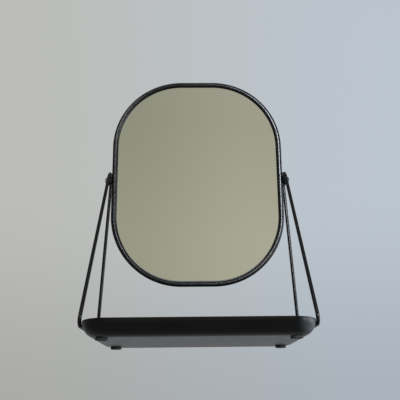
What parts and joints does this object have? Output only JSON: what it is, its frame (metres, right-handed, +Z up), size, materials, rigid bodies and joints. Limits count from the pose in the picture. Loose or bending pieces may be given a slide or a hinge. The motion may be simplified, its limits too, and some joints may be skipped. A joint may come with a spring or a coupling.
{
  "type": "vanity mirror",
  "caption": "Table-top vanity mirror: a rounded rectangular mirror tilts between two bent-wire side frames, over a shallow tray for small things.",
  "frame": {"origin": "on the resting plane, midway between the four feet, below the centre of the tray", "axes": "+Z up, +X to the right of someone facing the glass, -Y towards that person, so the glass faces -Y"},
  "size_m": [0.2414, 0.132, 0.3208],
  "materials": {
    "powder_coat": "satin black powder coat with a fine even texture",
    "rubber": "matte black moulded rubber",
    "silvered_glass": "flat silvered glass, very slightly green",
    "foam_tape": "closed-cell foam tape",
    "nylon": "dull black nylon",
    "black_steel": "black-plated steel, satin"
  },
  "bodies": {
    "base": {"tray": "powder_coat", "foot_front_left": "rubber", "foot_front_right": "rubber", "foot_back_left": "rubber", "foot_back_right": "rubber", "side_wire_left": "powder_coat", "side_wire_right": "powder_coat", "pivot_eye_left": "powder_coat", "pivot_eye_right": "powder_coat", "nylon_washer_left": "nylon", "nylon_washer_right": "nylon"},
    "mirror": {"mirror_frame": "powder_coat", "mirror_glass": "silvered_glass", "glass_tape_top": "foam_tape", "glass_tape_middle": "foam_tape", "glass_tape_bottom": "foam_tape", "back_plate": "powder_coat", "pivot_screw_left": "black_steel", "pivot_screw_right": "black_steel", "spring_washer_left": "black_steel", "spring_washer_right": "black_steel"}
  },
  "joints": [
    {"name": "mirror_tilt", "type": "hinge", "parent": "base", "child": "mirror", "pos_m": [0, 0, 0.194], "axis": [1, 0, 0], "continuous": true}
  ]
}
